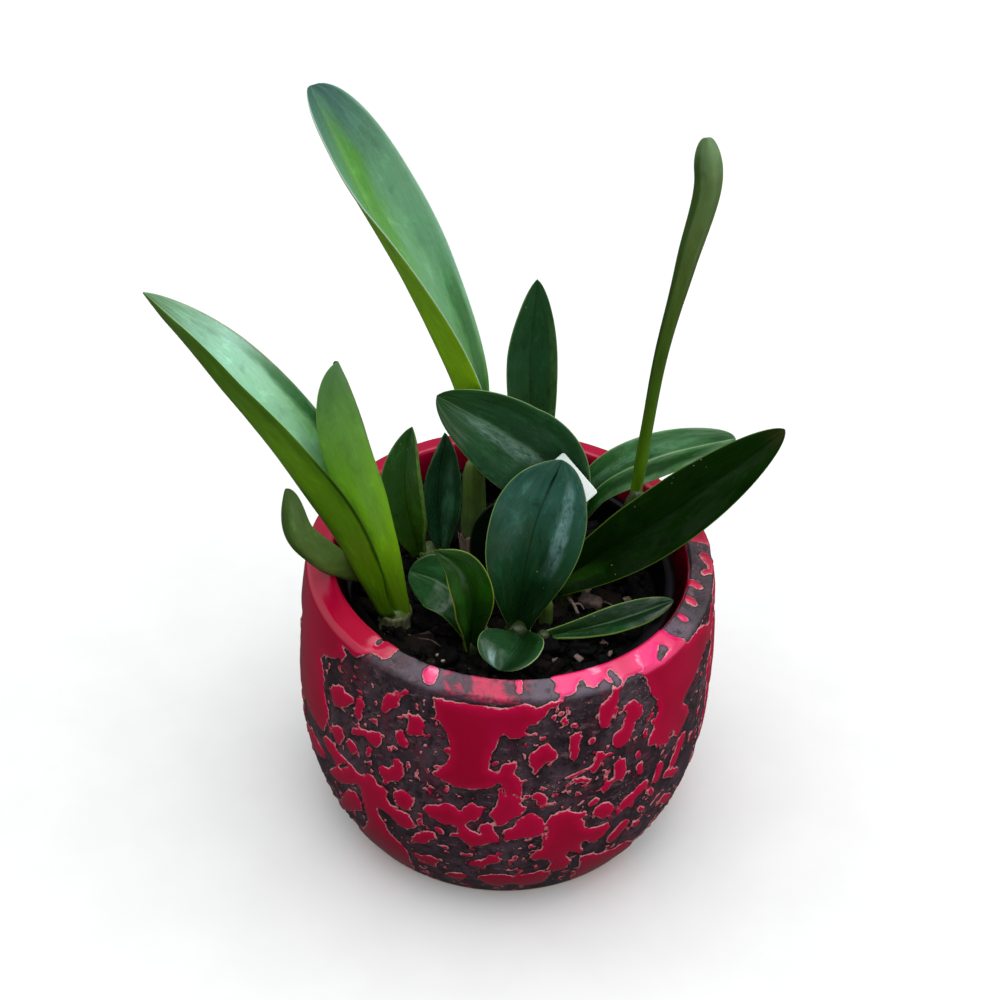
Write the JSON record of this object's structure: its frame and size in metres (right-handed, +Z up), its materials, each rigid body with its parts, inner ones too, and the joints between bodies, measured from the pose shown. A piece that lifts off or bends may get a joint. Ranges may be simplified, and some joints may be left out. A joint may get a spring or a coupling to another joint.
{
  "type": "potted cattleya orchid",
  "caption": "Young cattleya orchid in leaf, standing in bark mix in a plastic grower's pot inside a rounded glazed ceramic pot; rests on its flat base.",
  "frame": {"origin": "centre of the ceramic pot's flat underside", "axes": "+Z up; -Y is the side that the picture looks at; +X to the right of it, so the two long leaves lean towards -X"},
  "size_m": [0.2241, 0.158, 0.2746],
  "materials": {
    "glaze": "glossy raised red glaze over matt charcoal",
    "black_plastic": "smooth, slightly glossy",
    "bark": "rough, matt, dark and damp",
    "cane": "fleshy green stem with dry papery sheaths",
    "leaf": "leathery dark green leaf with a soft gloss",
    "young_leaf": "leathery bright green leaf with a soft gloss",
    "white_plastic": "plain white, satin"
  },
  "bodies": {
    "root": {"ceramic_pot": "glaze", "growers_pot": "black_plastic", "bark_mix": "bark", "cane_left": "cane", "cane_far_left": "cane", "cane_back_left": "cane", "cane_tall": "cane", "cane_rear": "cane", "cane_arching": "cane", "cane_rear_right": "cane", "cane_right": "cane", "cane_low_right": "cane", "cane_centre": "cane", "cane_shaded": "cane", "cane_front": "cane", "cane_small": "cane", "sprout": "cane", "leaf_tall": "young_leaf", "leaf_left_long": "young_leaf", "leaf_left_inner": "young_leaf", "leaf_left_small": "leaf", "leaf_back_left": "leaf", "leaf_back_inner": "leaf", "leaf_rear": "leaf", "leaf_arching": "leaf", "leaf_rear_right": "leaf", "leaf_right_upright": "young_leaf", "leaf_right_broad": "leaf", "leaf_low_right": "leaf", "leaf_centre": "leaf", "leaf_front": "leaf", "leaf_curled": "leaf", "leaf_shaded": "leaf", "leaf_behind_front": "leaf", "plant_label": "white_plastic"}
  },
  "joints": []
}
